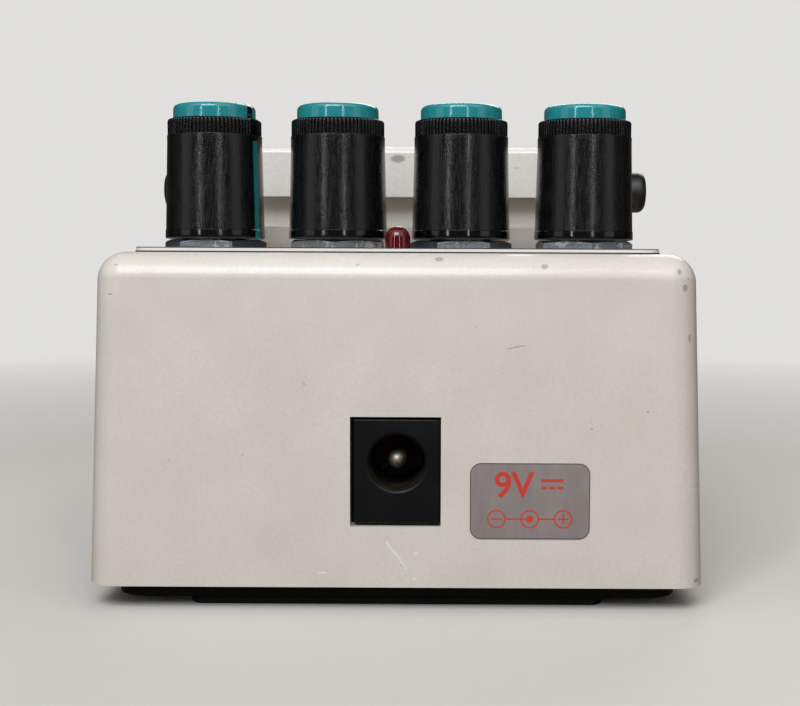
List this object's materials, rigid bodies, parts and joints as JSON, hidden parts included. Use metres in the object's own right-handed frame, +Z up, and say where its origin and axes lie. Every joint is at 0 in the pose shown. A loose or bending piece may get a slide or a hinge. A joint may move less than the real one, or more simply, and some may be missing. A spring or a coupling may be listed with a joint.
{
  "type": "delay pedal",
  "caption": "Compact delay pedal with a sprung treadle, tall control knobs, side phone jacks, rear power socket and rubber base",
  "frame": {"origin": "on the ground under the middle of the rubber base", "axes": "+X to the player's right, +Y to the rear wall with the power socket, +Z up"},
  "size_m": [0.0754, 0.129, 0.06],
  "materials": {
    "cream_paint": "satin enamel with a fine pearl grain",
    "plate_metal": "brushed and lacquered",
    "black_plastic": "satin moulding",
    "teal_plastic": "gloss moulding",
    "red_lens": "clear red moulding",
    "dark_zinc": "dark zinc plating",
    "bright_steel": "bright plating",
    "brass": "plain turned",
    "black_rubber": "matt moulding",
    "black_steel": "black stove enamel",
    "board_laminate": "solder mask",
    "battery_shell": "printed steel shell",
    "capacitor_sleeve": "shrunk sleeve"
  },
  "bodies": {
    "housing": {"enclosure": "cream_paint", "control_plate": "plate_metal", "power_socket": "black_plastic", "input_jack": "black_plastic", "output_jack": "black_plastic", "footswitch": "black_plastic", "battery_snap": "black_plastic", "board_chips": "black_plastic", "status_lamp": "red_lens", "pot_nuts": "dark_zinc", "base_screws": "dark_zinc", "jack_washers": "bright_steel", "jack_nuts": "bright_steel", "level_pot": "bright_steel", "feedback_pot": "bright_steel", "time_pot": "bright_steel", "mode_switch": "bright_steel", "hinge_shaft": "bright_steel", "treadle_spring": "bright_steel", "board_screws": "bright_steel", "power_pin": "brass", "thumb_insert": "brass", "rubber_base": "black_rubber", "base_plate": "black_steel", "main_board": "board_laminate", "battery": "battery_shell", "board_capacitors": "capacitor_sleeve"},
    "treadle": {"treadle": "cream_paint", "treadle_pad": "black_rubber", "guide_bush": "black_plastic", "hinge_bushes": "black_plastic", "switch_pusher": "black_rubber"},
    "thumb_washer": {"thumb_washer": "bright_steel"},
    "thumbscrew": {"thumbscrew": "dark_zinc"},
    "plunger": {"footswitch_plunger": "black_plastic"},
    "level": {"level_knob": "black_plastic", "level_cap": "teal_plastic", "level_shaft": "bright_steel"},
    "feedback": {"feedback_knob": "black_plastic", "feedback_cap": "teal_plastic", "feedback_shaft": "bright_steel"},
    "time": {"time_knob": "black_plastic", "time_cap": "teal_plastic", "time_shaft": "bright_steel"},
    "mode": {"mode_knob": "black_plastic", "mode_cap": "teal_plastic", "mode_shaft": "bright_steel"}
  },
  "joints": [
    {"name": "treadle_press", "type": "hinge", "parent": "housing", "child": "treadle", "pos_m": [0, 0.0292, 0.0507], "axis": [1, 0, 0], "range_deg": [0, 3], "stiffness_Nm_per_rad": 3, "springref_deg": -5.73, "deforming": ["treadle_spring"]},
    {"name": "plunger_slide", "type": "slide", "parent": "housing", "child": "plunger", "axis": [0, 0.247, -0.969], "range_m": [0, 0.0038]},
    {"name": "thumbscrew_lift", "type": "slide", "parent": "housing", "child": "thumb_washer", "axis": [0, -0.247, 0.969], "range_m": [0, 0.0042]},
    {"name": "thumbscrew_turn", "type": "hinge", "parent": "thumb_washer", "child": "thumbscrew", "pos_m": [0, -0.05429, 0.03417], "axis": [0, -0.247, 0.969], "range_deg": [0, 2170]},
    {"name": "level_turn", "type": "hinge", "parent": "housing", "child": "level", "pos_m": [-0.0228, 0.0525, 0.05], "axis": [0, 0, -1], "range_deg": [0, 300]},
    {"name": "feedback_turn", "type": "hinge", "parent": "housing", "child": "feedback", "pos_m": [-0.0076, 0.0525, 0.05], "axis": [0, 0, -1], "range_deg": [0, 300]},
    {"name": "time_turn", "type": "hinge", "parent": "housing", "child": "time", "pos_m": [0.0076, 0.0525, 0.05], "axis": [0, 0, -1], "range_deg": [0, 300]},
    {"name": "mode_turn", "type": "hinge", "parent": "housing", "child": "mode", "pos_m": [0.0228, 0.0525, 0.05], "axis": [0, 0, -1], "range_deg": [-83, 217]}
  ],
  "couplings": [
    {"joint": "plunger_slide", "follows": "treadle_press", "m_per_rad": 0.069923},
    {"joint": "thumbscrew_turn", "follows": "thumbscrew_lift", "rad_per_m": 8976}
  ]
}
